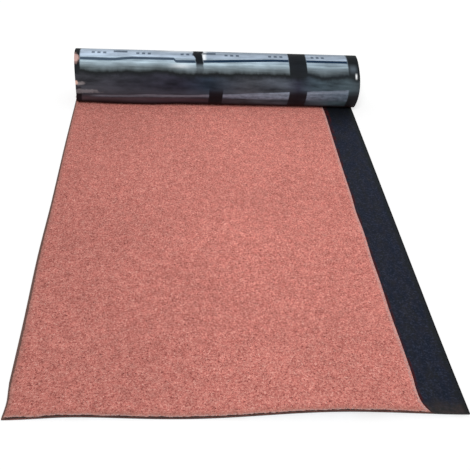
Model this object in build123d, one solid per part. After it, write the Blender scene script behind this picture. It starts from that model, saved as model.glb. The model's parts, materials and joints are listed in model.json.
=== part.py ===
from build123d import *
import math
import os

# Roll of roofing felt, partly unrolled, in millimetres.
# X runs across the sheet, Y along it from the free end to the roll, and Z up from the floor.

# Sheet
felt_width = 1000.0
felt_thickness = 4.0  # with the granules
granule_depth = 0.8  # how far the granules stand above the bare lap strip
selvedge_width = 100.0  # bare lap strip along the right edge
laid_length = 1520.0  # from the free end to the line where the roll bears on the floor

# Roll
bore_radius = 28.5
turn_count = 16
turn_line_width = 0.4  # gap between the turns at the granuled end
turn_line_depth = 4.0
nip_gap = 0.5  # height of the wedge under the front of the roll where it is closed off

# Free end, which has sprung up in waves
wave_reach = 350.0  # length over which the waves die out
end_lift = 17.0  # height of the highest crest's underside
wave_place_shares = (-0.5, -0.36, -0.14, 0.225, 0.5)  # edges, crests and hollows, of the width
wave_lift_shares = (0.0, 0.35, 0.02, 1.0, 0.32)  # their heights, of the highest crest
flare_width = 14.0  # how far the granules run out over the lap strip at the free end
flare_reach = 40.0  # length over which that flare dies out
flare_steps = 3
wave_steps = 4
points_per_wave = 3
lap_points = 4

cut_overrun = 5.0

# Derived sizes
half_width = felt_width / 2
roll_radius = bore_radius + turn_count * felt_thickness
front_radius = roll_radius - felt_thickness / 2
front_height = roll_radius + felt_thickness / 2
axis_y = (laid_length - roll_radius) / 2
free_end_y = axis_y - laid_length
flat_start_y = free_end_y + wave_reach
lap_thickness = felt_thickness - granule_depth
lap_edge_x = half_width - selvedge_width
nip_reach = math.sqrt(front_radius**2 - (front_radius - nip_gap) ** 2)
nip_y = axis_y - nip_reach
section_points = points_per_wave * (len(wave_place_shares) - 1) + 1


def half_turn(centre_height, radius, side):
    """Half circle from the bottom to the top of the roll, at its back (side 1) or front (side -1)."""
    bottom = (axis_y, centre_height - radius)
    middle = (axis_y + side * radius, centre_height)
    top = (axis_y, centre_height + radius)
    return ThreePointArc(bottom, middle, top)


def turn_path(outset):
    """Line between the turns, from the nip to the innermost turn, moved outwards by outset."""
    under_roll = felt_thickness - outset
    path = [Line((nip_y, under_roll), (axis_y, under_roll))]
    for turn in range(1, turn_count):
        inset = turn * felt_thickness - outset
        path.append(half_turn(roll_radius, roll_radius - inset, 1))
        if turn < turn_count - 1:
            path.append(half_turn(front_height, front_radius - inset, -1))
    return path


def turn_gap(inner_outset, outer_outset, depth, side):
    """Gap between the turns, from one outset of their line to another, cut in from one end of the roll."""
    inner = turn_path(inner_outset)
    outer = turn_path(outer_outset)
    nip_close = Line(inner[0] @ 0, outer[0] @ 0)
    end_close = Line(inner[-1] @ 1, outer[-1] @ 1)
    gap = make_face(inner + outer + [nip_close, end_close])
    start = half_width - depth if side > 0 else -half_width - cut_overrun
    return extrude(Plane.YZ.offset(start) * gap, amount=depth + cut_overrun)


def wave_lift(x):
    """Height of the free end's underside at x, easing from each crest to the next hollow."""
    share = x / felt_width
    nodes = list(zip(wave_place_shares, wave_lift_shares))
    for (left, left_lift), (right, right_lift) in zip(nodes, nodes[1:]):
        if share <= right:
            break
    travel = min((share - left) / (right - left), 1)
    ease = (1 - math.cos(math.pi * travel)) / 2
    return end_lift * (left_lift + (right_lift - left_lift) * ease)


def end_section(distance):
    """Cross section of the sheet at a distance from its free end."""
    station_y = free_end_y + distance
    fade = (1 - distance / wave_reach) ** 2
    step_x = lap_edge_x + flare_width * max(0, 1 - distance / flare_reach) ** 2

    def run(start_x, finish_x, height, count):
        points = []
        for index in range(count):
            x = start_x + (finish_x - start_x) * index / (count - 1)
            points.append((x, station_y, height + fade * wave_lift(x)))
        return Line(points[0], points[-1]) if fade == 0 else Spline(points)

    underside = run(-half_width, half_width, 0, section_points)
    lap = run(step_x, half_width, lap_thickness, lap_points)
    granules = run(-half_width, step_x, felt_thickness, section_points)
    right_side = Line(underside @ 1, lap @ 1)
    step = Line(lap @ 0, granules @ 1)
    left_side = Line(granules @ 0, underside @ 0)
    return Wire([underside, right_side, lap, step, granules, left_side])


def end_length(start, finish, steps):
    """Waved length of the sheet between two distances from its free end."""
    stations = [start + (finish - start) * step / steps for step in range(steps + 1)]
    return Solid.make_loft([end_section(station) for station in stations])


# Section of the roll and the flat sheet: the outer turn leaves the roll underneath
nip_point = (nip_y, felt_thickness + nip_gap)
front_middle = (axis_y - front_radius, front_height)
roll_top = (axis_y, 2 * roll_radius)
outline = [
    Line((flat_start_y, 0), (axis_y, 0)),
    half_turn(roll_radius, roll_radius, 1),
    ThreePointArc(roll_top, front_middle, nip_point),
    Line(nip_point, (nip_y, felt_thickness)),
    Line((nip_y, felt_thickness), (flat_start_y, felt_thickness)),
    Line((flat_start_y, felt_thickness), (flat_start_y, 0)),
]
bore = Pos(axis_y, roll_radius) * Circle(bore_radius)
felt = extrude(Plane.YZ * (make_face(outline) - bore), amount=half_width, both=True)

# Bare lap strip along the right edge of the flat sheet
lap_cut = Box(
    selvedge_width + cut_overrun,
    nip_y - flat_start_y,
    granule_depth,
    align=(Align.MIN, Align.MIN, Align.MIN),
)
felt -= Pos(lap_edge_x, flat_start_y, lap_thickness) * lap_cut

# Turns showing on the two ends; the lap strip leaves an open gap between them on the right
felt -= turn_gap(0, granule_depth, selvedge_width, 1)
felt -= turn_gap(-turn_line_width, 0, turn_line_depth, -1)

# Waved free end
felt += end_length(flare_reach, wave_reach, wave_steps)
felt += end_length(0, flare_reach, flare_steps)

os.makedirs("parts", exist_ok=True)
export_step(felt, "parts/roofing_felt.step")
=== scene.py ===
import json
import math
from functools import reduce
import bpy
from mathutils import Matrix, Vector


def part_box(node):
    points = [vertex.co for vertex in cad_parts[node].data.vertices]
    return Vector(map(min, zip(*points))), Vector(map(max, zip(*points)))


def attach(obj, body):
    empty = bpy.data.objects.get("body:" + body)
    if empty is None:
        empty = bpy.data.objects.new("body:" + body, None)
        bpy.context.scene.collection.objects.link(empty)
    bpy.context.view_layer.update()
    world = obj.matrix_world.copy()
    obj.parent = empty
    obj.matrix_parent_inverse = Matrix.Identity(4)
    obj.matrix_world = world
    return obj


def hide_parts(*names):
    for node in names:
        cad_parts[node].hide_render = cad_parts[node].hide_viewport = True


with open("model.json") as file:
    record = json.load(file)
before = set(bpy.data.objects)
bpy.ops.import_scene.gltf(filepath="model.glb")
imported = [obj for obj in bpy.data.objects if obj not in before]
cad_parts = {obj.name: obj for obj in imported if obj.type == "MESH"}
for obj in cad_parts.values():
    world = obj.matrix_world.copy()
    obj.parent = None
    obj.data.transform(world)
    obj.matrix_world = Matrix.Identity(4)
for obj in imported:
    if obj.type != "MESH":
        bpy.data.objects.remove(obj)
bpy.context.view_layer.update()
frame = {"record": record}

from types import SimpleNamespace

import bmesh
import bpy
import numpy as np
from mathutils import Matrix, Vector

# Felt and roll, in metres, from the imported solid
felt_low, felt_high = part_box("roofing_felt")
core = next(m for m in frame["record"]["mounts"] if m["name"] == "core_bore")
half_width = felt_high.x
free_end_y = felt_low.y
axis_y = core["pos_m"][1]
roll_radius = core["pos_m"][2]
turns = 16
turn_pitch = (roll_radius - core["dims"]["r_mm"] / 1000) / turns

# Thickness of the sheet: bitumen, then granules, with a little air left between the turns
bitumen_thickness = 0.0029
granule_coat = 0.0008

# Bare lap strip, and how far the granules run out over it at the free end
lap_width = 0.100
lap_x = half_width - lap_width
flare_width = 0.014
flare_reach = 0.040
flare_from_x = 0.300
lap_bows = (
    (0.065, 0.055, -0.0027),
    (0.350, 0.170, -0.0025),
    (0.550, 0.140, -0.0024),
    (0.790, 0.100, -0.0028),
    (1.100, 0.900, -0.0059),
    (1.520, 0.100, -0.0040),
)  # distance, reach, move

# Waves of the free end: places across the width and heights, as shares
wave_reach = 0.350
end_lift = 0.017
wave_place_shares = (-0.5, -0.36, -0.14, 0.225, 0.5)
wave_lift_shares = (0.0, 0.35, 0.02, 1.0, 0.32)

# Run of the edges: the left edge and the free end bow
left_bows = ((0.560, 0.300, -0.003), (0.045, 0.060, 0.004), (1.520, 0.400, 0.0026))  # distance, reach, move
end_bows = ((-0.080, 0.300, 0.0026), (-0.500, 0.180, 0.0014))  # place across, reach, move
end_stretch = 0.0024
end_stretch_reach = 0.120

# The roll stands a little to the right, its turns don't quite line up, and it sags low on its front
left_shift = 0.0115
right_shift = 0.0050
shift_turns = 0.35
turn_wobble = 0.0030
wobble_start = 0.75  # in turns
turn_scatter = 0.0012
scatter_rates = (2.1, 5.3)
sag_depth = 0.0044
sag_place_share = 0.905  # of a turn
sag_reach_share = 0.075
sag_turns = 8
sag_swell = (-0.300, 0.160, 0.9)  # place across, reach, growth
swell_steepness = 1.5

# Mesh density
sheet_columns = 48
laid_rows = 60
end_rows = (0.004, 0.009, 0.015, 0.021, 0.033, 0.041, 0.060)
half_turn_steps = 20
outer_half_turns = 4
outer_steps = 40
merge_distance = 1e-5
hair = 1e-6
smooth_angle = math.radians(40)

# Loose granules: chips strewn over the laid sheet, in strips that are a piece each
chip_radius = 0.00125
chip_height = 0.0011
chip_lean_shares = (0.35, 0.1)  # of its radius
chip_stretch = (1.15, 0.85, 1)
chip_turns = ((-0.6, -0.6, 0.0), (0.6, 0.6, 2 * math.pi))  # least, most
chip_scales = ((0.7, 0.7, 0.6), (1.3, 1.3, 1.2))  # least, most
chip_spacing = 0.00265
cell_share = 0.8  # of a chip's own cell on the bake map
strip_count = 4
seed_step = 10
bed_columns = 12
strip_gap = 0.024
strip_end_y = axis_y - strip_gap
bare_margin = 0.0035
left_margin = 0.0027
fringe_width = 0.009

# Wear on the granules, mostly by the distance from their edges, and painted shade on their left side; each
# fade runs from none to full
granule_side_shade_fade = (-half_width, 0.1)
edge_wander = 0.006
end_wander = 0.010
wide_margin_fade = (0.030, 0.200)
wide_margin_end_fade = (1.6, 0.2)
worn_side_fade = (0.020, 0.005)
worn_end_fade = (0.026, 0.006)
fringe_fade = (0.013, 0.006)
bare_fade = (bare_margin + 0.0030, bare_margin + 0.0018)
bare_side_fade = (0.012, 0.006)

# Marks on the lap strip, with painted shade near the roll and beside the granules
grime_wander = 0.03
grime_fade = (0.065, 0.020)
roll_shade_fade = (axis_y - 0.24, axis_y - 0.05)
stain_and_shadow_wander = 0.005
stain_and_shadow_growth = 0.007
stain_and_shadow_growth_fade = (axis_y - 0.45, axis_y - 0.10)
stain_and_shadow_fade = (0.0115, 0.0070)
rim_fade = (0.018, 0.008)
rim_line_fade = (0.004, 0.002)

# Cut edges
edge_bare_fade = (lap_x - 0.004, lap_x + 0.016)
edge_film_fade = (0.0006, 0.0)
edge_granule_fade = (bitumen_thickness + 0.00005, bitumen_thickness + granule_coat / 3)
edge_speck_fade = (lap_x + 0.010, lap_x - 0.010)

# Areas of the felt's bake map: left, bottom, right and top, as shares
map_area_shares = {
    "laid_granules": (0.008, 0.008, 0.545, 0.930),
    "laid_lap": (0.553, 0.008, 0.613, 0.930),
    "outer_film": (0.622, 0.008, 0.992, 0.240),
    "laid_film": (0.622, 0.250, 0.800, 0.525),
    "bore": (0.810, 0.250, 0.992, 0.340),
    "inner_film": (0.622, 0.535, 0.992, 0.590),
    "inner_granules": (0.622, 0.600, 0.992, 0.655),
}
map_row_shares = {"left_edge": 0.665, "right_edge": 0.785, "other_edges": 0.905}  # bottom of the first row
row_pitch_share = 0.0068
row_height_share = 0.0050

# Printed film: spans across it, rows along it and patches of both, with start, finish and softness
print_pitch = 0.200
low_row_number = 2.0

# Breaks between the panels
panel_span = (-0.481, 0.463, 0.003)
band_span = (0.250, 0.314, 0.002)
low_break_span = (-0.035, 0.014, 0.002)
full_break_span = (-0.089, -0.053, 0.003)
full_break_lean = 0.16
full_break_lean_from = 0.085
full_break_close_fade = (0.138, 0.160)
fold_wander = 0.030

# Full panels
panel_top = 0.050
panel_top_fade = (panel_top - 0.0015, panel_top + 0.0015)
panel_bottom = 0.180
panel_bottom_fade = (panel_bottom + 0.002, panel_bottom - 0.003)
left_lift_fade = (0.0, -0.48)
left_lift_row_fade = (0.130, 0.110)
right_dim_fade = (0.30, 0.32)
right_dim_row_fade = (0.128, 0.138)
# Painted highlights on the panels: shine, crest and fold
shine_patch = ((-0.155, -0.105, 0.035), (0.146, 0.156, 0.010))
crest_highlight_span = (-0.190, -0.060, 0.050)
crest_highlight_row_fade = (0.092, 0.066)
fold_highlight_patch = ((-0.058, -0.041, 0.006), (0.058, 0.128, 0.018))
slack_depth = 0.008
slack_row_fade = (0.120, 0.165)
scallop_depth = 0.014
scallop_row_fade = (0.152, 0.176)
slack_places = (
    (0.318, 0.040, -0.006),
    (0.385, 0.060, 0.004),
    (0.455, 0.035, -0.004),
    (0.205, 0.070, -0.003),
    (0.110, 0.140, -0.001),
    (-0.110, 0.050, 0.004),
    (-0.215, 0.075, -0.008),
    (-0.325, 0.060, -0.003),
    (-0.405, 0.045, 0.005),
    (-0.475, 0.040, -0.003),
)  # place across, reach, drop

# Low panels
low_panel_slants = (0.034, 0.060)  # rise of their upper edge, left and right of the middle
low_panel_wander = 0.009
low_panel_spread = 0.070  # growth of their depth to the right
low_panel_bottom_fade = (0.074, 0.061)
low_panel_left_fade = (0.035, 0.090)
top_streak_rows = (panel_top + 0.002, panel_top + 0.012, 0.003)

# Bare film between the panels
under_edge_fade = (print_pitch - 0.001, panel_bottom)
sheen_lift_rows = (0.045, 0.060, 0.025)
low_dark_row_fade = (0.020, 0.050)
gleam_patch = ((0.468, 0.490, 0.008), (0.136, 0.158, 0.014))
red_reflection_rows = (0.074, 0.094, 0.016)
red_reflection_fade = (0.15, -0.10)
nip_shadow_row_fade = (0.088, 0.116)

# Blue line, squares and bars on the full panels
line_place = 0.120
line_width = 0.0115
line_rows = (line_place - line_width / 2, line_place + line_width / 2, 0.0012)
line_drift = 0.0145
line_drift_shares = (
    (0.14, 0.75), (0.20, 0.25), (0.344, 0.25), (0.352, 0.95), (0.42, 0.90), (0.52, 0.60), (0.70, 0.0),
)  # place from the left, share of the drift
line_strength_shares = ((0.30, 0.85), (0.50, 1.0))
square_pitch = 0.020
square_side = (0.004, 0.015, 0.001)
square_patch = ((0.020, 0.080, 0.001), (0.092, 0.104, 0.001))
square_repeat = 0.155
bar_patch = ((0.255, 0.303, 0.001), (0.080, 0.096, 0.001))
bar_repeat = 0.310

# Dust smeared on the left end of the roll, and a small white spot near the right end
white_spot_patch = ((0.4855, 0.4905, 0.003), (0.366, 0.382, 0.006))
film_smears = (
    (0.329, 0.026, 0.019, 0.85, (190, 156, 150)),
    (0.419, 0.009, 0.036, 0.50, (150, 142, 142)),
    (0.417, 0.010, 0.013, 0.75, (202, 166, 152)),
    (0.450, 0.011, 0.095, 0.55, (132, 128, 131)),
)  # place along, reach along, reach across, share, colour

# Camera as the photograph has it
camera_place = Vector((-0.1469, -1.99975, 1.3127))
camera_pitch = math.radians(34.972)
camera_yaw = math.radians(5.325)
camera_roll = math.radians(3.608)
picture_pixels = 470
focal_pixels = 815.6

# Floor and light
floor_size = 30
floor_drop = 0.0004
floor_grey = 0.62
floor_glow = 0.40
sky_strength = 0.42
light_strength = 2.95
light_spread = math.radians(30)
light_direction = Vector((0.14, 1.0, -0.88))

FILM, GRANULES, CUT_EDGE, LAP = range(4)


# Helpers for modelling


def deselect_all():
    """Leave nothing selected, so that the next operator acts on its own piece."""
    bpy.ops.object.select_all(action="DESELECT")


def select_parts(piece, kind, test):
    """In edit mode, select the vertices, edges or faces of the piece that pass the test."""
    bpy.ops.mesh.select_mode(type=kind)
    bpy.ops.mesh.select_all(action="DESELECT")
    shape = bmesh.from_edit_mesh(piece.data)
    parts = {"VERT": shape.verts, "EDGE": shape.edges, "FACE": shape.faces}[kind]
    for part in parts:
        part.select_set(bool(test(part)))
    shape.select_flush_mode()
    bmesh.update_edit_mesh(piece.data)


def read_rows(data, name):
    """Vectors of a mesh's points or of a mark on them, a row to each."""
    rows = np.empty(len(data) * 3)
    data.foreach_get(name, rows)
    return rows.reshape(-1, 3)


def write_rows(data, name, rows):
    data.foreach_set(name, rows.astype(np.float32).ravel())


def lay_grid(name, columns, low_x, high_x, end_y):
    """Flat grid on the floor, from the free end to end_y."""
    deselect_all()
    bpy.ops.mesh.primitive_grid_add(
        x_subdivisions=columns,
        y_subdivisions=laid_rows,
        size=1,
        calc_uvs=False,
        location=((low_x + high_x) / 2, (free_end_y + end_y) / 2, 0),
    )
    grid = bpy.context.object
    grid.name = name
    grid.scale = (high_x - low_x, end_y - free_end_y, 1)
    bpy.ops.object.transform_apply(location=True, rotation=True, scale=True)
    return grid


# Shape of the felt


def eased(share):
    """Smooth rise from 0 to 1."""
    share = np.clip(share, 0, 1)
    return share**2 * (3 - 2 * share)


def wave_height(x):
    """Lift of the free end at x, easing from each crest to the next hollow."""
    steps = range(len(wave_place_shares))
    step = np.interp(x / (2 * half_width), wave_place_shares, steps)
    step = np.floor(step) + (1 - np.cos(np.pi * (step % 1))) / 2
    return end_lift * np.interp(step, steps, wave_lift_shares)


def wound_turns(points):
    """Turns wound at each point, counted from where the sheet leaves the floor, and zero on the laid part."""
    back, up = points[:, 1] - axis_y, points[:, 2] - roll_radius
    angle = np.arctan2(back, -up) / (2 * np.pi) % 1
    depth = (roll_radius - np.hypot(back, up)) / turn_pitch
    climb = np.where(angle < 0.5, 0, (1 - np.cos(2 * np.pi * (angle - 0.5))) / 2)
    wound = np.round(depth - climb) + angle
    laid = (points[:, 1] < axis_y + hair) & (points[:, 2] < turn_pitch / 2)
    return np.where(laid, 0, wound)


def sheet_marks(mesh):
    """Marks of where each point lies on the unrolled sheet."""
    return mesh.attributes["sheet_place"].data


def mark_sheet_places(mesh):
    """Store where each point lies on the unrolled sheet: across it, along it, and up from the film."""
    points = read_rows(mesh.vertices, "co")
    wound = wound_turns(points)
    length = 2 * np.pi * wound * (roll_radius - turn_pitch * wound / 2)
    along = np.where(wound > 0, axis_y + length, np.minimum(points[:, 1], axis_y))
    places = np.stack([points[:, 0], along, np.zeros_like(along)], 1)
    mesh.attributes.new("sheet_place", "FLOAT_VECTOR", "POINT")
    write_rows(sheet_marks(mesh), "vector", places)


def bowed(along, bows):
    """Sum of the moves of some bows, each with its place, reach and move."""
    return sum(move * eased(1 - np.abs(along - place) / reach) for place, reach, move in bows)


def sagged(x, wound):
    """How far the roll hangs out low on its front, less and less from turn to turn inwards."""
    low_front = eased(1 - np.abs(wound % 1 - sag_place_share) / sag_reach_share)
    swell_x, swell_reach, swell_growth = sag_swell
    swell = eased(swell_steepness * (1 - np.abs(x - swell_x) / swell_reach))
    outer_share = np.clip(1 - wound // 1 / sag_turns, 0, 1)
    return sag_depth * low_front * outer_share * (1 + swell_growth * swell)


def shape_sheet(mesh):
    """Wave the free end, run the granules' edge out over the lap strip, and shift the roll and its turns."""
    points = read_rows(mesh.vertices, "co")
    x, distance = points[:, 0].copy(), points[:, 1] - free_end_y
    wound = wound_turns(points)
    laid = wound == 0

    # Left edge
    left_share = np.clip((lap_x - x) / (lap_x + half_width), 0, 1)
    points[:, 0] += np.where(laid, bowed(distance, left_bows) * left_share, 0)

    # Roll
    first_rate, second_rate = scatter_rates
    shift = left_shift + (right_shift - left_shift) * (x + half_width) / (2 * half_width)
    shift += turn_wobble * np.cos(4 * np.pi * (wound - wobble_start))
    shift += turn_scatter * np.sin(wound * first_rate) * np.cos(wound * second_rate)
    points[:, 0] += eased(wound / shift_turns) * shift
    sag = sagged(x, wound)
    angle = 2 * np.pi * (1 - wound % 1)
    points[:, 1] -= sag * np.sin(angle)
    points[:, 2] -= sag * np.cos(angle)

    # Free end
    stretch = end_stretch + bowed(x, end_bows)
    points[:, 1] -= stretch * eased(1 - distance / end_stretch_reach)
    near = np.clip(1 - distance / wave_reach, 0, 1) ** 2
    points[:, 2] += np.where(laid, near * wave_height(x), 0)

    # Edge between the granules and the lap strip
    flare = flare_width * np.clip(1 - distance / flare_reach, 0, 1) ** 2 + bowed(distance, lap_bows)
    inner_share = np.clip((x - flare_from_x) / (lap_x - flare_from_x), 0, 1)
    outer_share = np.clip((half_width - x) / lap_width, 0, 1)
    points[:, 0] += flare * np.minimum(inner_share, outer_share)
    write_rows(mesh.vertices, "co", points)
    mesh.update()


def wind_felt():
    """Lay a flat grid from the free end to the roll, wind its far edge up, and give it its thickness."""
    felt = lay_grid("felt_sheet", sheet_columns, -half_width, half_width, axis_y)

    # The far edge goes up the back first, and each half turn has a centre half a pitch from the last
    bpy.ops.object.mode_set(mode="EDIT")
    bpy.ops.mesh.select_all(action="SELECT")
    bpy.ops.mesh.bisect(plane_co=(lap_x, 0, 0), plane_no=(1, 0, 0))
    for distance in end_rows:
        bpy.ops.mesh.select_all(action="SELECT")
        bpy.ops.mesh.bisect(plane_co=(0, free_end_y + distance, 0), plane_no=(0, 1, 0))
    select_parts(felt, "EDGE", lambda e: all(v.co.y > axis_y - merge_distance for v in e.verts))
    for half in range(2 * turns - 1):
        centre_z = roll_radius + (half % 2) * turn_pitch / 2
        bpy.ops.mesh.spin(
            steps=outer_steps if half < outer_half_turns else half_turn_steps,
            angle=-math.pi,
            center=(0, axis_y, centre_z),
            axis=(1, 0, 0),
        )
    bpy.ops.mesh.select_all(action="SELECT")
    bpy.ops.mesh.remove_doubles(threshold=merge_distance)
    bpy.ops.mesh.normals_make_consistent(inside=False)
    bpy.ops.object.mode_set(mode="OBJECT")
    if felt.data.polygons[0].normal.z < 0:
        felt.data.flip_normals()

    mark_sheet_places(felt.data)
    shape_sheet(felt.data)
    for _ in (FILM, GRANULES, CUT_EDGE, LAP):
        felt.data.materials.append(None)
    raise_faces(felt, FILM, bitumen_thickness)

    # The granules stand proud of the bare strip
    across = read_rows(sheet_marks(felt.data), "vector")[:, 0]
    for face in felt.data.polygons:
        if face.material_index == GRANULES and min(across[v] for v in face.vertices) > lap_x - merge_distance:
            face.material_index = LAP
    mark_heights(felt.data, (GRANULES, LAP), bitumen_thickness)
    raise_faces(felt, GRANULES, granule_coat)
    mark_heights(felt.data, (GRANULES,), bitumen_thickness + granule_coat)
    bpy.ops.object.shade_smooth_by_angle(angle=smooth_angle)
    return felt


def raise_faces(felt, finish, height):
    """Extrude the faces of this finish by a height, as granules with cut edges round them."""
    bpy.ops.object.mode_set(mode="EDIT")
    select_parts(felt, "FACE", lambda f: f.material_index == finish)
    bpy.ops.mesh.extrude_region_shrink_fatten(TRANSFORM_OT_shrink_fatten={"value": height})
    shape = bmesh.from_edit_mesh(felt.data)
    raised = {point for face in shape.faces if face.select for point in face.verts}
    for face in shape.faces:
        if face.select:
            face.material_index = GRANULES
        elif face.material_index == finish and not raised.isdisjoint(face.verts):
            face.material_index = CUT_EDGE
    bmesh.update_edit_mesh(felt.data)
    bpy.ops.object.mode_set(mode="OBJECT")


def mark_heights(mesh, finishes, height):
    """Store the height above the film at every point of the faces with these finishes."""
    places = read_rows(sheet_marks(mesh), "vector")
    for face in mesh.polygons:
        if face.material_index in finishes:
            places[list(face.vertices), 2] = height
    write_rows(sheet_marks(mesh), "vector", places)


def turns_along(along):
    """Turns wound at a length along the sheet."""
    length = np.clip(along - axis_y, 0, np.pi * roll_radius**2 / turn_pitch)
    return (roll_radius - np.sqrt(roll_radius**2 - turn_pitch * length / np.pi)) / turn_pitch


def lay_bake_map(mesh):
    """Lay the sheet out flat on the bake map, with the parts that show large and the hidden turns small."""
    corner_points = np.empty(len(mesh.loops), np.int32)
    mesh.loops.foreach_get("vertex_index", corner_points)
    counts = np.array([len(face.vertices) for face in mesh.polygons])
    starts = np.cumsum(counts) - counts
    finish = np.repeat([face.material_index for face in mesh.polygons], counts)
    across, along, height = read_rows(sheet_marks(mesh), "vector")[corner_points].T

    def of_face(values):
        """Mean of each face, at its corners."""
        return np.repeat(np.add.reduceat(values, starts) / counts, counts)

    wound = turns_along(along)
    turn = np.floor(of_face(wound))
    laid = of_face(along) < axis_y
    middle, place = of_face(across), of_face(along)
    nearly = granule_coat / 2
    step = np.abs(middle - lap_x) < nearly
    finish[step] = CUT_EDGE
    film, granules, edge, lap = (finish == kind for kind in (FILM, GRANULES, CUT_EDGE, LAP))
    inside = granules | lap
    innermost = inside & (of_face(wound) > wound.max() - 1)
    spots = np.full((len(corner_points), 2), -1.0)

    def spread(chosen, column, values, start, stop):
        """Spread the chosen corners over a stretch of the map by their values."""
        values = values[chosen]
        share = (values - values.min()) / (values.max() - values.min())
        spots[chosen, column] = start + (stop - start) * share

    def lay(area, chosen, level, upright):
        """Lay the chosen corners in an area of the map."""
        left, bottom, right, top = map_area_shares[area]
        spread(chosen, 0, level, left, right)
        spread(chosen, 1, upright, bottom, top)

    lay("laid_granules", granules & laid, across, along)
    lay("laid_lap", lap & laid, across, along)
    lay("laid_film", film & laid, across, along)
    lay("outer_film", film & ~laid & (turn == 0), across, along)
    lay("inner_film", film & ~laid & (turn > 0), along, across)
    lay("inner_granules", inside & ~laid & ~innermost, along, across)
    lay("bore", innermost, across, along)

    # Cut edges in rows, a turn to each on the ends of the roll
    left, _, right, _ = map_area_shares["outer_film"]

    def lay_row(chosen, level, group, row):
        """Lay the chosen corners in a row of the map."""
        bottom = map_row_shares[group] + row * row_pitch_share
        spread(chosen, 0, level, left, right)
        share = height[chosen] / (bitumen_thickness + granule_coat)
        spots[chosen, 1] = bottom + row_height_share * share

    ends = [edge & (place < free_end_y + nearly), edge & (place > along.max() - nearly)]
    sides = edge & ~ends[0] & ~ends[1]
    on_left, on_right = middle < nearly - half_width, middle > half_width - nearly
    for group, side in (("left_edge", on_left), ("right_edge", on_right)):
        lay_row(sides & side & laid, along, group, 0)
        for index in range(turns):
            lay_row(sides & side & ~laid & (turn == index), wound, group, index + 1)
    steps = [sides & step & laid, sides & step & ~laid]
    for row, chosen in enumerate(ends + steps):
        lay_row(chosen, across if row < len(ends) else along, "other_edges", row)
    write_rows(mesh.uv_layers.new(name="OFBake").data, "uv", spots)


# Loose granules


def model_chip():
    """One angular granule: a three-sided spindle with its points off the middle."""
    deselect_all()
    bpy.ops.mesh.primitive_cone_add(
        vertices=3, radius1=chip_radius, depth=chip_height, location=(0, 0, chip_height / 2)
    )
    chip = bpy.context.object
    chip.name = "granule_chip"
    bpy.ops.object.transform_apply(location=True, rotation=True, scale=True)
    bpy.ops.object.mode_set(mode="EDIT")
    select_parts(chip, "FACE", lambda f: f.normal.z < -0.9)
    bpy.ops.mesh.poke(offset=chip_height / 2)
    select_parts(chip, "VERT", lambda v: v.co.z > chip_height / 2)
    bpy.ops.transform.translate(value=(*(chip_radius * share for share in chip_lean_shares), 0))
    bpy.ops.mesh.select_all(action="SELECT")
    bpy.ops.transform.resize(value=chip_stretch)
    bpy.ops.mesh.normals_make_consistent(inside=False)
    chip.data.uv_layers.remove(chip.data.uv_layers[0])
    chip.data.uv_layers.new(name="OFBake")
    bpy.ops.uv.smart_project(island_margin=0.02)
    bpy.ops.object.mode_set(mode="OBJECT")
    return chip


def lay_bed(name, low_x, high_x):
    """Grid over one strip of the laid sheet, shaped like it and raised to the top of the granule coat."""
    bed = lay_grid(name, bed_columns, low_x, high_x, strip_end_y)
    mark_sheet_places(bed.data)
    shape_sheet(bed.data)
    bpy.ops.object.mode_set(mode="EDIT")
    bpy.ops.mesh.select_all(action="SELECT")
    bpy.ops.transform.translate(value=(0, 0, bitumen_thickness + granule_coat))
    bpy.ops.object.mode_set(mode="OBJECT")
    return bed


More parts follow.
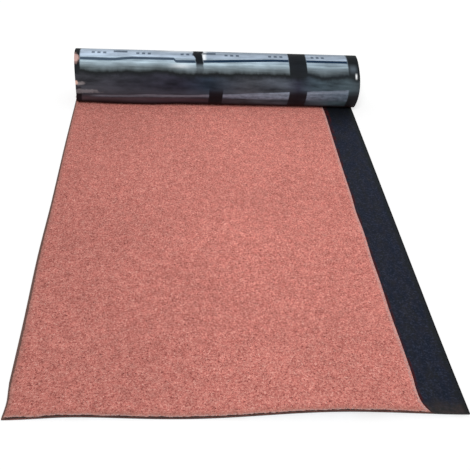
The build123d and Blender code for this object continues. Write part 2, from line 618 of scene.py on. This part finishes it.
def strewing(chip, finish, seed):
    """Node tree that strews chips over a bed, each with its own tone and place on the bake map."""
    kind = "NodeSocketGeometry"
    group, tree, given, made = new_group("strewn_granules", {"Bed": kind}, "Granules", kind, "Geometry")
    density = {"Distance Min": chip_spacing, "Density Max": 1 / chip_spacing**2}
    spread = tree.add(
        "GeometryNodeDistributePointsOnFaces",
        {"Mesh": given["Bed"], "Seed": seed, **density},
        distribute_method="POISSON",
    )

    def named(name):
        node = tree.add("GeometryNodeInputNamedAttribute", {"Name": name}, data_type="FLOAT_VECTOR")
        return node.outputs["Attribute"]

    def store(pieces, name, value, kind, domain):
        inputs = {"Geometry": pieces, "Name": name, "Value": value}
        node = tree.add("GeometryNodeStoreNamedAttribute", inputs, data_type=kind, domain=domain)
        return node.outputs["Geometry"]

    def draw(kind, low, high, offset):
        """Random value for each chip, between low and high."""
        pair = 0 if kind == "FLOAT_VECTOR" else 2
        inputs = {pair: low, pair + 1: high, "Seed": seed + offset}
        node = tree.add("FunctionNodeRandomValue", inputs, data_type=kind)
        return node.outputs["Value" if kind == "FLOAT_VECTOR" else 1]

    # Chips thin out towards the edges of the coat
    parts = tree.add("ShaderNodeSeparateXYZ", {"Vector": named("sheet_place")}).outputs
    left = tree.plus(parts["X"], half_width - left_margin)
    right = tree.less(lap_x, parts["X"])
    end = tree.less(parts["Y"], free_end_y)
    nearest = tree.maths("MINIMUM", tree.maths("MINIMUM", left, right), end)
    least = draw("FLOAT", bare_margin, bare_margin + fringe_width, 1)
    kept = tree.maths("GREATER_THAN", nearest, least)

    turned = tree.add(
        "FunctionNodeRotateRotation",
        {0: spread.outputs["Rotation"], 1: draw("FLOAT_VECTOR", *chip_turns, 2)},
        rotation_space="LOCAL",
    )
    chip_info = tree.add("GeometryNodeObjectInfo", {"Object": chip})
    strewn = tree.add("GeometryNodeInstanceOnPoints", {
        "Points": spread.outputs["Points"],
        "Selection": kept,
        "Instance": chip_info.outputs["Geometry"],
        "Rotation": turned.outputs[0],
        "Scale": draw("FLOAT_VECTOR", *chip_scales, 3),
    })
    toned = store(strewn.outputs["Instances"], "tone", draw("FLOAT", 0.0, 1.0, 4), "FLOAT", "INSTANCE")
    joined = tree.add("GeometryNodeRealizeInstances", {"Geometry": toned}).outputs["Geometry"]

    # Each chip has a cell of its own on the bake map
    island = tree.add("GeometryNodeInputMeshIsland").outputs
    side = tree.maths("CEIL", tree.maths("SQRT", island["Island Count"]))
    column = tree.maths("FLOORED_MODULO", island["Island Index"], side)
    row = tree.maths("FLOOR", tree.maths("DIVIDE", island["Island Index"], side))
    corner = tree.add("ShaderNodeCombineXYZ", {"X": column, "Y": row}).outputs["Vector"]
    shrink, margin = (cell_share, cell_share, 0), ((1 - cell_share) / 2, (1 - cell_share) / 2, 0)
    inputs = {0: named("OFBake"), 1: shrink, 2: margin}
    shrunk = tree.add("ShaderNodeVectorMath", inputs, operation="MULTIPLY_ADD")
    placed = tree.add("ShaderNodeVectorMath", {0: shrunk.outputs[0], 1: corner}, operation="ADD")
    inputs = {0: placed.outputs[0], "Scale": tree.maths("DIVIDE", 1.0, side)}
    scaled = tree.add("ShaderNodeVectorMath", inputs, operation="SCALE")
    mapped = store(joined, "OFBake", scaled.outputs[0], "FLOAT2", "CORNER")
    dressed = tree.add("GeometryNodeSetMaterial", {"Geometry": mapped, "Material": finish})
    tree.feed(made, dressed.outputs["Geometry"])
    return group


def strew_granules(finish):
    """Strew loose granules over the laid sheet, strip by strip across it."""
    chip = model_chip()
    strips = []
    strip_width = (lap_x + half_width) / strip_count
    for index in range(strip_count):
        low_x = -half_width + index * strip_width
        strip = lay_bed(f"granules_{index + 1}", low_x, low_x + strip_width)
        chips = strip.modifiers.new("chips", "NODES")
        chips.node_group = strewing(chip, finish, seed_step * index + 1)
        bpy.ops.object.modifier_apply(modifier=chips.name)
        strips.append(strip)
    deselect_all()
    chip.select_set(True)
    bpy.ops.object.delete()
    return strips


# Helpers for materials


def linear(red, green, blue):
    """Colour from the eight-bit values that a picture has."""
    tones = [v / 255 for v in (red, green, blue)]
    return tuple(t / 12.92 if t < 0.04045 else ((t + 0.055) / 1.055) ** 2.4 for t in tones) + (1,)


class Nodes:
    """A node tree with short calls for the nodes that are used here."""

    def __init__(self, tree):
        self.tree = tree

    def add(self, kind, inputs=(), **settings):
        """New node with its settings made and its inputs fed."""
        node = self.tree.nodes.new(kind)
        for name, value in settings.items():
            setattr(node, name, value)
        for name, value in dict(inputs).items():
            self.feed(node.inputs[name], value)
        return node

    def feed(self, socket, value):
        if isinstance(value, bpy.types.NodeSocket):
            self.tree.links.new(value, socket)
        else:
            socket.default_value = value

    def maths(self, operation, first, second=0.0):
        return self.add("ShaderNodeMath", {0: first, 1: second}, operation=operation).outputs[0]

    def times(self, *values):
        return reduce(lambda first, second: self.maths("MULTIPLY", first, second), values)

    def plus(self, *values):
        return reduce(lambda first, second: self.maths("ADD", first, second), values)

    def less(self, first, second):
        return self.maths("SUBTRACT", first, second)

    def ease(self, value, start, finish):
        """Smooth rise from 0 at start to 1 at finish."""
        inputs = {"Value": value, "From Min": start, "From Max": finish}
        node = self.add("ShaderNodeMapRange", inputs, interpolation_type="SMOOTHSTEP")
        return node.outputs["Result"]

    def span(self, value, start, finish, soft):
        """1 between start and finish, easing off over the soft length at both ends."""
        rise = self.ease(value, start - soft, start + soft)
        fall = self.ease(value, finish + soft, finish - soft)
        return self.times(rise, fall)

    def mix(self, share, first, second, blend="MIX"):
        inputs = {0: share, 6: first, 7: second}
        return self.add("ShaderNodeMix", inputs, data_type="RGBA", blend_type=blend).outputs[2]

    def noise(self, vector, scale, detail=2.0, rough=0.5):
        inputs = {"Vector": vector, "Scale": scale, "Detail": detail, "Roughness": rough}
        return self.add("ShaderNodeTexNoise", inputs).outputs["Fac"]

    def streaky(self, place, across, along, detail=2.0, rough=0.5):
        """Noise with a scale of its own across and along the sheet."""
        inputs = {"Vector": place, "Scale": (across, along, 1.0)}
        return self.noise(self.add("ShaderNodeMapping", inputs).outputs["Vector"], 1.0, detail, rough)

    def ramp(self, share, stops):
        """Colours that run into each other, each at its place."""
        node = self.add("ShaderNodeValToRGB", {"Fac": share})
        marks = node.color_ramp.elements
        while len(marks) < len(stops):
            marks.new(1.0)
        for mark, (place, colour) in zip(marks, stops):
            mark.position = place
            mark.color = colour
        return node.outputs["Color"]

    def tones(self, share, stops):
        """Ramp of colours with the eight-bit values that a picture has."""
        return self.ramp(share, [(place, linear(*tone)) for place, tone in stops])

    def levels(self, share, stops):
        """Ramp of greys."""
        return self.ramp(share, [(place, (level, level, level, 1)) for place, level in stops])

    def shade(self, colour, share, stops):
        """Darken or lighten a colour by a ramp of greys."""
        return self.mix(1.0, colour, self.levels(share, stops), "MULTIPLY")

    def over(self, colour, *layers):
        """Lay tones over a colour, each by the product of its shares."""
        for tone, *shares in layers:
            colour = self.mix(self.times(*shares), colour, linear(*tone))
        return colour

    def patch(self, first, second, first_span, second_span):
        """1 where both values are in their spans."""
        return self.times(self.span(first, *first_span), self.span(second, *second_span))

    def sheet_place(self):
        """Vector on the unrolled sheet, and its parts across, along and up."""
        place = self.add("ShaderNodeAttribute", attribute_name="sheet_place").outputs["Vector"]
        parts = self.add("ShaderNodeSeparateXYZ", {"Vector": place}).outputs
        return place, parts["X"], parts["Y"], parts["Z"]


def new_group(name, inputs, output, kind, use="Shader"):
    """Shared node group with its inputs and one output."""
    group = bpy.data.node_groups.new(name, f"{use}NodeTree")
    for socket, sort in inputs.items():
        group.interface.new_socket(socket, in_out="INPUT", socket_type=sort)
    group.interface.new_socket(output, in_out="OUTPUT", socket_type=kind)
    tree = Nodes(group)
    return group, tree, tree.add("NodeGroupInput").outputs, tree.add("NodeGroupOutput").inputs[output]


def new_finish(name, roughness, gloss):
    """Material with nothing but its Principled shader."""
    finish = bpy.data.materials.new(name)
    finish.use_nodes = True
    shader = finish.node_tree.nodes["Principled BSDF"]
    shader.inputs["Roughness"].default_value = roughness
    shader.inputs["Specular IOR Level"].default_value = gloss
    return finish, Nodes(finish.node_tree), shader


def dress(tree, shader, colour, height, strength, distance):
    """Give a finish its colour and its bumps."""
    tree.feed(shader.inputs["Base Color"], colour)
    inputs = {"Height": height, "Strength": strength, "Distance": distance}
    tree.feed(shader.inputs["Normal"], tree.add("ShaderNodeBump", inputs).outputs["Normal"])


# Finishes


def granule_tones():
    """Shared colour of the granules, from their own tone and their place on the sheet, with painted shade
    making the left side darker.
    """
    inputs = {"Tone": "NodeSocketFloat", "Place": "NodeSocketVector"}
    group, tree, given, made = new_group("granule_tones", inputs, "Colour", "NodeSocketColor")
    place = given["Place"]
    colour = tree.tones(given["Tone"], (
        (0.0, (66, 29, 28)), (0.09, (100, 49, 46)), (0.24, (170, 93, 85)),
        (0.5, (199, 122, 112)), (0.78, (214, 143, 131)), (1.0, (237, 190, 177)),
    ))
    colour = tree.shade(colour, tree.noise(place, 3.0, 3.0), ((0.3, 0.93), (0.7, 1.05)))
    colour = tree.shade(colour, tree.noise(place, 42.0, 3.0, 0.6), ((0.28, 0.86), (0.72, 1.14)))
    # Painted shade: the granules darker towards the left side of the sheet
    across = tree.add("ShaderNodeSeparateXYZ", {"Vector": place}).outputs["X"]
    side = tree.ease(across, *granule_side_shade_fade)
    tree.feed(made, tree.shade(colour, side, ((0.0, 0.87), (1.0, 1.04))))
    return group


def mineral_dust():
    """Shared mask of dust and stray grit, in patches."""
    inputs = {"Place": "NodeSocketVector", "Grain": "NodeSocketFloat", "Amount": "NodeSocketFloat"}
    group, tree, given, made = new_group("mineral_dust", inputs, "Mask", "NodeSocketFloat")
    patches = tree.noise(given["Place"], 14.0, 3.0, 0.6)
    specks = tree.noise(given["Place"], given["Grain"], 2.0, 0.7)
    both = tree.times(tree.plus(patches, specks), 0.5)
    least = tree.less(0.64, tree.times(given["Amount"], 0.25))
    tree.feed(made, tree.ease(both, least, tree.plus(least, 0.05)))
    return group


def place_group(tree, group, inputs):
    """Place a shared group in a finish with its own values."""
    return tree.add("ShaderNodeGroup", inputs, node_tree=group).outputs[0]


def granule_finish(tones):
    """Coat of red mineral granules, greyer along its edges and bare along its rim."""
    finish, tree, shader = new_finish("red_granules", 0.92, 0.25)
    place, across, along, _ = tree.sheet_place()
    cells = tree.add("ShaderNodeTexVoronoi", {"Vector": place, "Scale": 520.0})
    cell_tone = tree.add("ShaderNodeSeparateColor", {"Color": cells.outputs["Color"]}).outputs[0]
    clumps = tree.ease(tree.noise(place, 190.0, 2.0, 0.6), 0.22, 0.78)
    tone = tree.plus(tree.times(cell_tone, 0.4), tree.times(clumps, 0.6))
    colour = place_group(tree, tones, {"Tone": tone, "Place": place})

    # Distances from the edges, which wander
    wander = tree.times(tree.noise(place, 190.0, 4.0, 0.65), edge_wander)
    wander = tree.less(wander, edge_wander / 6)
    left = tree.plus(across, half_width, wander)
    right = tree.plus(tree.less(lap_x, across), wander)
    end = tree.plus(tree.less(along, free_end_y), wander)
    wide = tree.times(tree.ease(end, *wide_margin_fade), tree.ease(end, *wide_margin_end_fade))
    left = tree.less(left, tree.times(wide, left_margin))
    uneven = tree.less(tree.streaky(place, 16.0, 1.0, 3.0, 0.6), 0.5)
    end = tree.plus(end, tree.times(uneven, end_wander))

    # Pale fringe where the granules stop, and bare dark bitumen along the cut edges
    fringe = tree.ease(tree.maths("MINIMUM", right, end), *fringe_fade)
    broken = tree.ease(tree.noise(place, 260.0), 0.36, 0.60)
    colour = tree.over(
        colour,
        ((140, 104, 94), 0.5, tree.ease(left, *worn_side_fade)),
        ((158, 106, 93), 0.6, tree.ease(end, *worn_end_fade)),
        ((190, 160, 156), 0.8, fringe, broken),
    )
    bitumen = tree.mix(tree.ease(left, *bare_side_fade), linear(50, 31, 27), linear(98, 72, 65))
    bare = tree.ease(tree.maths("MINIMUM", left, end), *bare_fade)
    colour = tree.mix(bare, colour, bitumen)
    dress(tree, shader, colour, tree.less(1.0, cells.outputs["Distance"]), 0.6, 0.0012)
    return finish


def chip_finish(tones):
    """Loose granules, each with a tone of its own."""
    finish, tree, shader = new_finish("loose_granules", 0.85, 0.3)
    tone = tree.add("ShaderNodeAttribute", attribute_name="tone").outputs["Fac"]
    place = tree.add("ShaderNodeTexCoord").outputs["Object"]
    tree.feed(shader.inputs["Base Color"], place_group(tree, tones, {"Tone": tone, "Place": place}))
    return finish


def lap_finish(dust):
    """Smooth blue-black bitumen of the bare strip, dusty at the free end and maroon beside the granules,
    partly as a stain and partly as painted shadow of their step.
    """
    finish, tree, shader = new_finish("bare_bitumen", 0.7, 0.06)
    place, across, along, _ = tree.sheet_place()
    tint = tree.streaky(place, 60.0, 25.0, 4.0, 0.6)
    colour = tree.tones(tint, ((0.30, (18, 23, 30)), (0.50, (25, 28, 39)), (0.70, (35, 35, 44))))
    patches = tree.streaky(place, 40.0, 14.0, 5.0, 0.7)
    grain = tree.noise(place, 200.0, 5.0, 0.75)
    colour = tree.over(
        colour,
        ((31, 32, 33), 0.6, tree.ease(patches, 0.46, 0.64)),
        ((16, 25, 40), 0.6, tree.ease(patches, 0.54, 0.36)),
        ((51, 56, 73), tree.ease(grain, 0.46, 0.70)),
    )

    # Grime at the free end
    free = tree.less(along, free_end_y)
    free = tree.plus(free, tree.times(tree.noise(place, 40.0, 3.0, 0.6), grime_wander))
    grime = tree.tones(tree.noise(place, 90.0, 4.0, 0.65), ((0.35, (40, 40, 40)), (0.65, (60, 51, 50))))
    colour = tree.mix(tree.times(tree.ease(free, *grime_fade), 0.9), colour, grime)

    # Scuffs, painted shade near the roll, a maroon stain beside the granules that is partly painted shadow of
    # their step, and a dark rim
    scuffs = place_group(tree, dust, {"Place": place, "Grain": 150.0, "Amount": 0.12})
    growth = tree.times(tree.ease(along, *stain_and_shadow_growth_fade), stain_and_shadow_growth)
    beside = tree.less(tree.less(across, lap_x), growth)
    beside = tree.plus(beside, tree.times(tree.noise(place, 240.0, 3.0, 0.6), stain_and_shadow_wander))
    outer = tree.less(half_width, across)
    colour = tree.over(
        colour,
        ((104, 98, 96), 0.16, scuffs),
        ((9, 10, 10), 0.75, tree.ease(along, *roll_shade_fade)),
        ((58, 20, 22), tree.ease(beside, *stain_and_shadow_fade), tree.ease(tint, 0.36, 0.60)),
        ((24, 27, 25), 0.6, tree.ease(outer, *rim_fade)),
        ((14, 14, 15), tree.ease(outer, *rim_line_fade)),
    )
    rough = tree.add("ShaderNodeMapRange", {"Value": tint, "To Min": 0.6, "To Max": 0.8})
    tree.feed(shader.inputs["Roughness"], rough.outputs["Result"])
    dress(tree, shader, colour, grain, 0.35, 0.0006)
    return finish


def film_places(tree):
    """Where a point lies on the film: across it, along it, and in which row of print."""
    place, across, along, _ = tree.sheet_place()
    wound = tree.less(along, axis_y)
    row = tree.maths("FLOOR", tree.maths("DIVIDE", wound, print_pitch))
    low_row = tree.maths("COMPARE", row, low_row_number)
    ragged = tree.less(tree.streaky(place, 9.0, 26.0), 0.5)
    return SimpleNamespace(
        place=place,
        across=across,
        wound=wound,
        from_left=tree.plus(across, half_width),
        phase=tree.maths("FLOORED_MODULO", wound, print_pitch),
        low_row=low_row,
        full_row=tree.less(1.0, low_row),
        odd_row=tree.maths("FLOORED_MODULO", row, 2.0),
        ragged=ragged,
        folded=tree.plus(across, tree.times(ragged, fold_wander)),
        streaks=tree.streaky(place, 4.0, 210.0, 3.0, 0.6),
    )


def film_breaks(tree, at):
    """Plain dark breaks between the panels: a band runs on from row to row, the others are each row's own."""
    start, _, soft = full_break_span
    closing = tree.times(tree.ease(at.phase, *full_break_close_fade), 0.6)
    leaning = tree.times(tree.less(at.phase, full_break_lean_from), -full_break_lean)
    full_break = tree.times(
        tree.span(at.folded, *full_break_span),
        tree.less(1.0, closing),
        tree.ease(tree.plus(at.folded, leaning), start - soft, start + soft),
    )
    low_break = tree.span(at.across, *low_break_span)
    row_break = tree.add("ShaderNodeMix", {0: at.odd_row, 2: low_break, 3: full_break}).outputs[0]
    band = tree.span(at.across, *band_span)
    ends = tree.less(1.0, tree.span(at.across, *panel_span))
    return tree.maths("MAXIMUM", tree.maths("MAXIMUM", row_break, band), ends)


def hang_film(tree, at):
    """Place along the row, moved where the film hangs slack or in scallops."""
    slack = tree.times(tree.streaky(at.place, 26.0, 9.0, 4.0, 0.65), slack_depth)
    slack = tree.less(slack, slack_depth / 2)
    for middle, reach, drop in slack_places:
        away = tree.maths("ABSOLUTE", tree.less(at.across, middle))
        slack = tree.plus(slack, tree.times(tree.ease(away, reach, 0.0), drop))
    slack = tree.times(slack, tree.ease(at.phase, *slack_row_fade))
    scallops = tree.less(tree.streaky(at.place, 48.0, 8.0), 0.5)
    scallops = tree.times(scallops, tree.ease(at.phase, *scallop_row_fade), scallop_depth)
    return tree.less(at.phase, tree.plus(slack, scallops))


def full_panels(tree, at):
    """Mask and colour of the pale panels, with painted shade darkening them downwards and painted highlights
    where the film would catch the light.
    """
    ends = (tree.ease(at.phase, *panel_top_fade), tree.ease(at.hung, *panel_bottom_fade))
    # Pale print, with a painted sheen just below the blue line and painted shade fading it to dark at its
    # bottom
    inputs = {"Value": at.hung, "From Min": panel_top, "From Max": panel_bottom}
    pale = tree.tones(tree.add("ShaderNodeMapRange", inputs).outputs["Result"], (
        (0.0, (170, 182, 194)), (0.45, (180, 196, 215)), (0.66, (172, 193, 207)),
        (0.71, (186, 207, 219)), (0.77, (150, 167, 177)), (0.86, (118, 131, 137)),
        (0.92, (86, 96, 100)), (0.97, (42, 47, 49)), (1.0, (20, 23, 24)),
    ))
    pale = tree.shade(pale, at.streaks, ((0.3, 0.84), (0.7, 1.14)))
    lift = tree.times(tree.ease(at.across, *left_lift_fade), tree.ease(at.phase, *left_lift_row_fade))
    pale = tree.shade(pale, lift, ((0.0, 0.72), (1.0, 1.0)))
    dim = (tree.ease(at.across, *right_dim_fade), tree.ease(at.phase, *right_dim_row_fade))
    pale = tree.over(pale, ((22, 30, 40), 0.36, *dim))
    # Painted glare: the panels brighter and darker in streaks
    glare = tree.streaky(at.place, 11.0, 60.0, 4.0, 0.6)
    pale = tree.shade(pale, glare, ((0.3, 0.62), (0.7, 1.22)))
    crest = (tree.span(at.across, *crest_highlight_span), tree.ease(at.phase, *crest_highlight_row_fade))
    # Painted highlights: shine near the break, along the crest of the roll, and beside the fold
    pale = tree.over(
        pale,
        ((238, 243, 246), 0.6, tree.patch(at.across, at.phase, *shine_patch)),
        ((236, 241, 245), 0.75, at.odd_row, *crest),
        ((232, 237, 240), 0.9, at.odd_row, tree.patch(at.folded, at.phase, *fold_highlight_patch)),
    )
    return tree.times(at.full_row, at.unbroken, *ends), pale


def low_panels(tree, at):
    """Mask and colour of the low panels, which slant and fade leftwards and downwards; their colour is the
    pale print painted darker, as shade.
    """
    left_slant, right_slant = low_panel_slants
    leftwards, rightwards = tree.maths("MINIMUM", at.across, 0.0), tree.maths("MAXIMUM", at.across, 0.0)
    rise = tree.plus(tree.times(leftwards, left_slant), tree.times(rightwards, right_slant))
    slanted = tree.plus(at.phase, rise, tree.times(at.ragged, low_panel_wander))
    spread = tree.less(slanted, tree.times(rightwards, low_panel_spread))
    ends = (tree.ease(slanted, *panel_top_fade), tree.ease(spread, *low_panel_bottom_fade))
    # The pale print painted darker, as it is in shade low on the front of the roll
    dim = tree.tones(at.from_left, (
        (0.0, (66, 63, 70)), (0.44, (72, 69, 78)), (0.52, (96, 103, 118)),
        (0.74, (108, 120, 135)), (0.82, (96, 106, 120)), (0.93, (84, 94, 106)),
    ))
    blotches = tree.streaky(at.place, 45.0, 90.0, 3.0, 0.65)
    dim = tree.shade(dim, blotches, ((0.32, 0.66), (0.68, 1.34)))
    dim = tree.over(dim, ((140, 150, 164), 0.3, tree.span(slanted, *top_streak_rows)))
    dim = tree.shade(dim, at.streaks, ((0.3, 0.8), (0.7, 1.2)))
    return tree.times(at.low_row, at.unbroken, tree.ease(at.from_left, *low_panel_left_fade), *ends), dim


def bare_film(tree, at):
    """Colour of the film between the panels: black at the left, with a painted cold sheen to the right, and
    painted red reflection and shadow near the nip.
    """
    # Black film, lifted to the right by a painted cold sheen
    black = tree.tones(at.from_left, (
        (0.0, (50, 51, 56)), (0.18, (42, 43, 50)), (0.36, (38, 38, 49)),
        (0.46, (30, 39, 50)), (0.60, (56, 59, 65)), (0.73, (60, 66, 74)),
        (0.78, (40, 42, 54)), (0.84, (58, 71, 80)), (0.955, (62, 74, 80)),
        (1.0, (46, 52, 56)),
    ))
    tint = tree.streaky(at.place, 9.0, 30.0, 4.0, 0.6)
    black = tree.shade(black, tint, ((0.3, 0.4), (0.7, 1.7)))
    red_reflection = (tree.span(at.phase, *red_reflection_rows), tree.ease(at.across, *red_reflection_fade))
    # Painted sheen above the low panels, a painted gleam near the right end, and painted red reflection and
    # shadow towards the nip
    return tree.over(
        black,
        ((16, 19, 21), 0.9, at.full_row, tree.ease(at.hung, *under_edge_fade)),
        ((104, 108, 118), 0.30, at.low_row, at.unbroken, tree.span(at.phase, *sheen_lift_rows)),
        ((22, 16, 18), 0.85, at.low_row, at.breaks, tree.ease(at.phase, *low_dark_row_fade)),
        ((100, 112, 122), 0.5, at.odd_row, tree.patch(at.across, at.phase, *gleam_patch)),
        ((92, 68, 72), 0.5, at.low_row, at.unbroken, *red_reflection),
        ((30, 7, 6), at.low_row, tree.ease(at.phase, *nip_shadow_row_fade)),
    )


def film_marks(tree, at):
    """Mask of the blue line along each full panel, with plain squares and bars beside it."""
    drift = tree.times(tree.levels(at.from_left, line_drift_shares), line_drift)
    line = tree.span(tree.less(at.phase, drift), *line_rows)
    line = tree.times(line, tree.levels(at.from_left, line_strength_shares))
    repeat = tree.maths("FLOORED_MODULO", at.across, square_repeat)
    squares = tree.patch(repeat, at.phase, *square_patch)
    square_place = tree.maths("FLOORED_MODULO", repeat, square_pitch)
    squares = tree.times(squares, tree.span(square_place, *square_side))
    bar_place = tree.maths("FLOORED_MODULO", at.across, bar_repeat)
    bars = tree.patch(bar_place, at.phase, *bar_patch)
    marks = tree.times(tree.maths("MAXIMUM", squares, bars), 0.7)
    return tree.maths("MAXIMUM", line, marks)


def smear_film(tree, at, colour):
    """Colour with dust smeared on the left end and a small white spot near the right end."""
    blot = tree.times(tree.less(tree.noise(at.place, 60.0, 3.0, 0.6), 0.5), 1.4)
    for middle, reach, far_reach, share, tone in film_smears:
        out = tree.maths("DIVIDE", at.from_left, far_reach)
        off = tree.maths("DIVIDE", tree.less(at.wound, middle), reach)
        away = tree.maths("SQRT", tree.plus(tree.times(out, out), tree.times(off, off)))
        colour = tree.over(colour, (tone, share, tree.ease(tree.plus(away, blot), 1.1, 0.5)))
    return tree.over(colour, ((226, 230, 232), tree.patch(at.across, at.wound, *white_spot_patch)))


def film_finish():
    """Black plastic film with pale printed panels, a thin blue line and plain dark breaks between them."""
    finish, tree, shader = new_finish("printed_film", 0.6, 0.05)
    at = film_places(tree)
    at.breaks = film_breaks(tree, at)
    at.unbroken = tree.less(1.0, at.breaks)
    at.hung = hang_film(tree, at)
    full, pale = full_panels(tree, at)
    low, dim = low_panels(tree, at)
    colour = tree.mix(full, tree.mix(low, bare_film(tree, at), dim), pale)
    colour = tree.over(colour, ((22, 42, 62), film_marks(tree, at), full))
    creases = tree.streaky(at.place, 7.0, 60.0, 4.0, 0.55)
    dress(tree, shader, smear_film(tree, at, colour), creases, 0.3, 0.004)
    return finish


def cut_edge_finish(dust):
    """Cut edges: brown-black bitumen between the film below and the red granules above, with stray grit."""
    finish, tree, shader = new_finish("cut_edge", 0.85, 0.25)
    place, across, _, height = tree.sheet_place()
    grit = tree.noise(place, 420.0, 3.0, 0.6)
    colour = tree.tones(grit, ((0.35, (38, 28, 26)), (0.65, (76, 56, 50))))
    bare = tree.tones(grit, ((0.35, (28, 28, 28)), (0.65, (54, 52, 50))))
    colour = tree.mix(tree.ease(across, *edge_bare_fade), colour, bare)
    specks = place_group(tree, dust, {"Place": place, "Grain": 500.0, "Amount": 0.2})
    colour = tree.over(
        colour,
        ((20, 20, 23), tree.ease(height, *edge_film_fade)),
        ((124, 70, 62), 0.85, tree.ease(height, *edge_granule_fade)),
        ((150, 90, 82), 0.7, specks, tree.ease(across, *edge_speck_fade)),
    )
    dress(tree, shader, colour, grit, 0.5, 0.0008)
    return finish


# Stage, light and camera


def seen_directly(tree):
    """1 for what the camera sees, straight or by a reflection, and 0 for light on its way to a surface."""
    seen = tree.add("ShaderNodeLightPath").outputs
    direct = tree.maths("MAXIMUM", seen["Is Camera Ray"], seen["Is Glossy Ray"])
    return tree.maths("MAXIMUM", direct, seen["Is Transmission Ray"])


def make_stage():
    """Plain pale floor, white to the camera where nothing shades it."""
    deselect_all()
    bpy.ops.mesh.primitive_plane_add(size=floor_size, location=(0, 0, -floor_drop))
    floor = bpy.context.object
    floor.name = "floor"
    finish = bpy.data.materials.new("pale_floor")
    finish.use_nodes = True
    tree = Nodes(finish.node_tree)
    finish.node_tree.nodes.clear()
    matt = tree.add("ShaderNodeBsdfDiffuse", {"Color": (floor_grey, floor_grey, floor_grey, 1)})
    glow = tree.add("ShaderNodeEmission", {"Strength": tree.times(seen_directly(tree), floor_glow)})
    both = tree.add("ShaderNodeAddShader", {0: matt.outputs[0], 1: glow.outputs[0]})
    tree.add("ShaderNodeOutputMaterial", {"Surface": both.outputs[0]})
    floor.data.materials.append(finish)


def make_light():
    """Even white surroundings and one wide soft light, high in front."""
    world = bpy.data.worlds.new("surroundings")
    world.use_nodes = True
    bpy.context.scene.world = world
    tree = Nodes(world.node_tree)
    sky = world.node_tree.nodes["Background"]
    sky.inputs["Color"].default_value = (1, 1, 1, 1)
    tree.feed(sky.inputs["Strength"], tree.maths("MAXIMUM", seen_directly(tree), sky_strength))
    soft = bpy.data.lights.new("soft_light", "SUN")
    soft.angle = light_spread
    soft.energy = light_strength
    lamp = bpy.data.objects.new("soft_light", soft)
    lamp.rotation_euler = light_direction.to_track_quat("-Z", "Y").to_euler()
    bpy.context.scene.collection.objects.link(lamp)


def make_camera():
    """Camera at the photograph's place, turned by its yaw, pitch and roll."""
    lens = bpy.data.cameras.new("camera")
    lens.lens = focal_pixels * lens.sensor_width / picture_pixels
    camera = bpy.data.objects.new("camera", lens)
    yaw = Matrix.Rotation(-camera_yaw, 4, "Z")
    pitch = Matrix.Rotation(math.pi / 2 - camera_pitch, 4, "X")
    roll = Matrix.Rotation(camera_roll, 4, "Z")
    camera.matrix_world = Matrix.Translation(camera_place) @ yaw @ pitch @ roll
    bpy.context.scene.collection.objects.link(camera)
    bpy.context.scene.camera = camera


# Scene

tones = granule_tones()
dust = mineral_dust()
felt = wind_felt()
felt.data.materials[FILM] = film_finish()
felt.data.materials[GRANULES] = granule_finish(tones)
felt.data.materials[CUT_EDGE] = cut_edge_finish(dust)
felt.data.materials[LAP] = lap_finish(dust)
strips = strew_granules(chip_finish(tones))
lay_bake_map(felt.data)
for piece in (felt, *strips):
    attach(piece, "root")
    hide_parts("roofing_felt")

make_stage()
make_light()
make_camera()
bpy.context.scene.view_settings.view_transform = "Standard"
